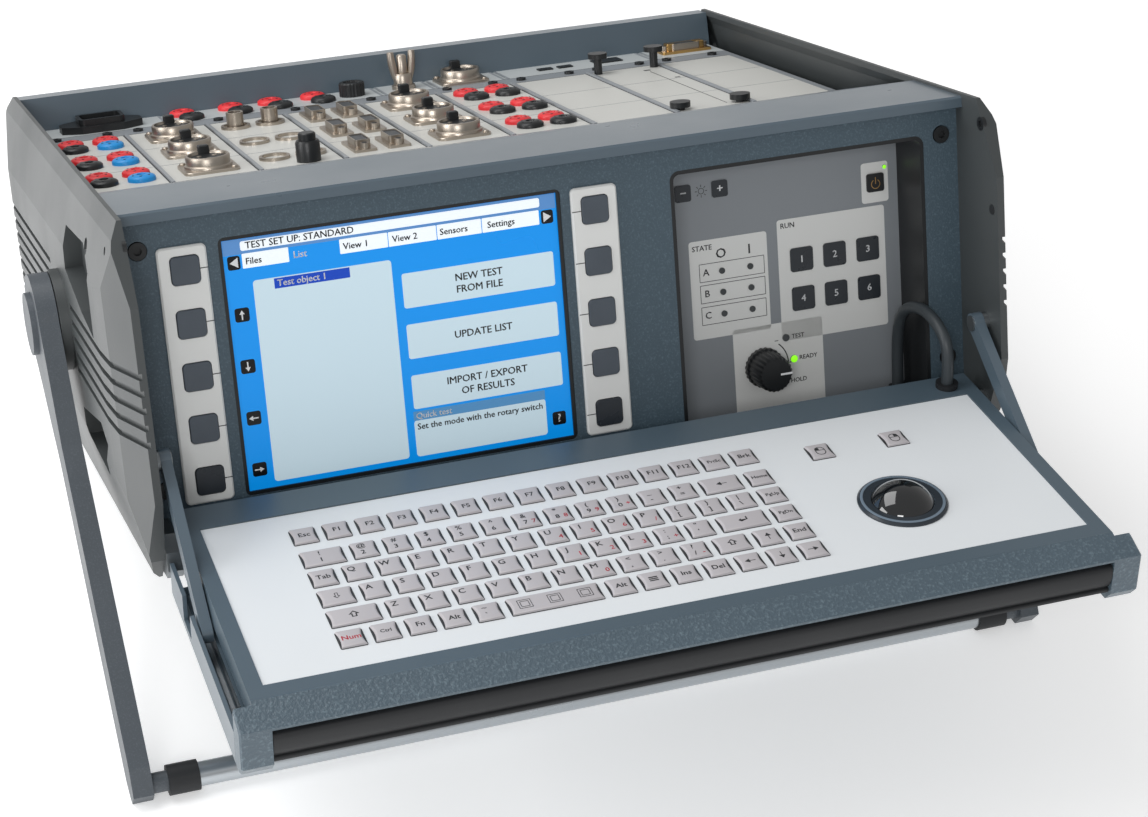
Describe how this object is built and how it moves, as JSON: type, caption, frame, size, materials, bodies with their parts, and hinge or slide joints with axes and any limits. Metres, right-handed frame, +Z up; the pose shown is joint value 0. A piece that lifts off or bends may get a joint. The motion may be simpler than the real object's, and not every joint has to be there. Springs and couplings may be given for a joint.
{
  "type": "portable test instrument with keyboard tray",
  "caption": "Portable electrical test instrument: display front, recessed control panel, connector bay on top, fold-out keyboard tray and a swing handle that props it up.",
  "frame": {"origin": "middle of the floor contact rectangle of the whole propped instrument, on the surface it stands on", "axes": "+Y from the keyboard tray to the back, +Z up, +X to the operator's right"},
  "size_m": [0.483, 0.5562, 0.2749],
  "materials": {
    "blue_grey_paint": "textured powder coat",
    "grey_plastic": "fine moulded texture",
    "zinc_sheet": "zinc plated",
    "black_plastic": "moulded",
    "light_foil": "printed foil",
    "key_grey": "silicone key",
    "key_cap": "embossed foil key",
    "white_plate": "printed foil",
    "screen": "lit display",
    "led_green": "clear lens",
    "module_plate": "satin enamel",
    "aluminium": "satin anodised",
    "nickel": "nickel plated",
    "red_plastic": "moulded",
    "blue_plastic": "moulded",
    "rubber": "ribbed rubber",
    "handle_paint": "textured powder coat",
    "green_board": "circuit board",
    "cable_sheath": "smooth sheath",
    "ball_black": "polished"
  },
  "bodies": {
    "case": {"side_cover_right": "grey_plastic", "side_cover_left": "grey_plastic", "base_tray": "zinc_sheet", "front_panel": "blue_grey_paint", "top_front_rail": "blue_grey_paint", "rear_rail": "blue_grey_paint", "display_bezel": "black_plastic", "display_panel": "screen", "softkey_strips": "light_foil", "control_recess": "black_plastic", "control_panel": "light_foil", "sequence_keys": "key_grey", "panel_leds": "led_green", "module_rails": "aluminium", "module_plates": "module_plate", "rear_strip": "module_plate", "sockets_red": "red_plastic", "sockets_black": "black_plastic", "sockets_blue": "blue_plastic", "round_sockets": "nickel", "coax_sockets": "nickel", "d_sockets": "nickel", "mains_inlet": "black_plastic", "earth_terminal": "nickel", "data_ports": "black_plastic", "thumb_screws": "black_plastic", "case_screws": "black_plastic", "hinge_ears": "zinc_sheet", "pivot_pins": "zinc_sheet", "rubber_feet": "rubber", "mainboard_and_supply": "green_board", "cable_gland": "rubber", "keyboard_cable": "cable_sheath"},
    "lid": {"lid_gland": "rubber", "lid_frame": "blue_grey_paint", "lid_end_blocks": "blue_grey_paint", "lid_side_plates": "blue_grey_paint", "bumper_strip": "rubber", "keyboard_plate": "white_plate", "trackball_ring": "key_grey", "keyboard_keys": "key_cap"},
    "handle": {"handle_arm_left": "handle_paint", "handle_arm_right": "handle_paint", "handle_tube": "aluminium", "handle_collars": "rubber"},
    "trackball": {"trackball": "ball_black"},
    "stay_left": {"strut_left": "blue_grey_paint"},
    "stay_right": {"strut_right": "blue_grey_paint"},
    "knob": {"rotary_knob": "black_plastic"},
    "power_button": {"power_key": "black_plastic"},
    "soft_key_left_1": {"soft_key_left_1": "key_grey"},
    "soft_key_left_2": {"soft_key_left_2": "key_grey"},
    "soft_key_left_3": {"soft_key_left_3": "key_grey"},
    "soft_key_left_4": {"soft_key_left_4": "key_grey"},
    "soft_key_left_5": {"soft_key_left_5": "key_grey"},
    "soft_key_right_1": {"soft_key_right_1": "key_grey"},
    "soft_key_right_2": {"soft_key_right_2": "key_grey"},
    "soft_key_right_3": {"soft_key_right_3": "key_grey"},
    "soft_key_right_4": {"soft_key_right_4": "key_grey"},
    "soft_key_right_5": {"soft_key_right_5": "key_grey"}
  },
  "joints": [
    {"name": "lid_hinge", "type": "hinge", "parent": "case", "child": "lid", "pos_m": [0, -0.12396, 0.12155], "axis": [-1, 0, 0], "range_deg": [0, 104.7], "deforming": ["keyboard_cable"]},
    {"name": "stay_left_pivot", "type": "hinge", "parent": "case", "child": "stay_left", "pos_m": [-0.2049, -0.11292, 0.16728], "axis": [-1, 0, 0], "range_deg": [0, 135.47]},
    {"name": "stay_right_pivot", "type": "hinge", "parent": "case", "child": "stay_right", "pos_m": [0.2049, -0.11292, 0.16728], "axis": [-1, 0, 0], "range_deg": [0, 135.47]},
    {"name": "handle_hinge", "type": "hinge", "parent": "case", "child": "handle", "pos_m": [0, 0.05231, 0.15212], "axis": [1, 0, 0], "range_deg": [0, 305]},
    {"name": "trackball_spin", "type": "hinge", "parent": "lid", "child": "trackball", "pos_m": [0.1214, -0.2102, 0.13163], "axis": [0, 0.0229, 0.9997], "continuous": true},
    {"name": "mode_knob_turn", "type": "hinge", "parent": "case", "child": "knob", "pos_m": [0.1116, -0.06695, 0.13172], "axis": [0, -0.9612, 0.2758], "range_deg": [0, 70]},
    {"name": "soft_key_left_1_press", "type": "slide", "parent": "case", "child": "soft_key_left_1", "axis": [0, 0.9612, -0.2758], "range_m": [0, 0.0008], "stiffness_N_per_m": 400, "springref_m": -0.001},
    {"name": "soft_key_left_2_press", "type": "slide", "parent": "case", "child": "soft_key_left_2", "axis": [0, 0.9612, -0.2758], "range_m": [0, 0.0008], "stiffness_N_per_m": 400, "springref_m": -0.001},
    {"name": "soft_key_left_3_press", "type": "slide", "parent": "case", "child": "soft_key_left_3", "axis": [0, 0.9612, -0.2758], "range_m": [0, 0.0008], "stiffness_N_per_m": 400, "springref_m": -0.001},
    {"name": "soft_key_left_4_press", "type": "slide", "parent": "case", "child": "soft_key_left_4", "axis": [0, 0.9612, -0.2758], "range_m": [0, 0.0008], "stiffness_N_per_m": 400, "springref_m": -0.001},
    {"name": "soft_key_left_5_press", "type": "slide", "parent": "case", "child": "soft_key_left_5", "axis": [0, 0.9612, -0.2758], "range_m": [0, 0.0008], "stiffness_N_per_m": 400, "springref_m": -0.001},
    {"name": "soft_key_right_1_press", "type": "slide", "parent": "case", "child": "soft_key_right_1", "axis": [0, 0.9612, -0.2758], "range_m": [0, 0.0008], "stiffness_N_per_m": 400, "springref_m": -0.001},
    {"name": "soft_key_right_2_press", "type": "slide", "parent": "case", "child": "soft_key_right_2", "axis": [0, 0.9612, -0.2758], "range_m": [0, 0.0008], "stiffness_N_per_m": 400, "springref_m": -0.001},
    {"name": "soft_key_right_3_press", "type": "slide", "parent": "case", "child": "soft_key_right_3", "axis": [0, 0.9612, -0.2758], "range_m": [0, 0.0008], "stiffness_N_per_m": 400, "springref_m": -0.001},
    {"name": "soft_key_right_4_press", "type": "slide", "parent": "case", "child": "soft_key_right_4", "axis": [0, 0.9612, -0.2758], "range_m": [0, 0.0008], "stiffness_N_per_m": 400, "springref_m": -0.001},
    {"name": "soft_key_right_5_press", "type": "slide", "parent": "case", "child": "soft_key_right_5", "axis": [0, 0.9612, -0.2758], "range_m": [0, 0.0008], "stiffness_N_per_m": 400, "springref_m": -0.001},
    {"name": "power_key_press", "type": "slide", "parent": "case", "child": "power_button", "axis": [0, 0.9612, -0.2758], "range_m": [0, 0.0008], "stiffness_N_per_m": 400, "springref_m": -0.001}
  ],
  "couplings": [
    {"joint": "stay_left_pivot", "follows": "lid_hinge", "ratio": 1.2938},
    {"joint": "stay_right_pivot", "follows": "lid_hinge", "ratio": 1.2938}
  ]
}
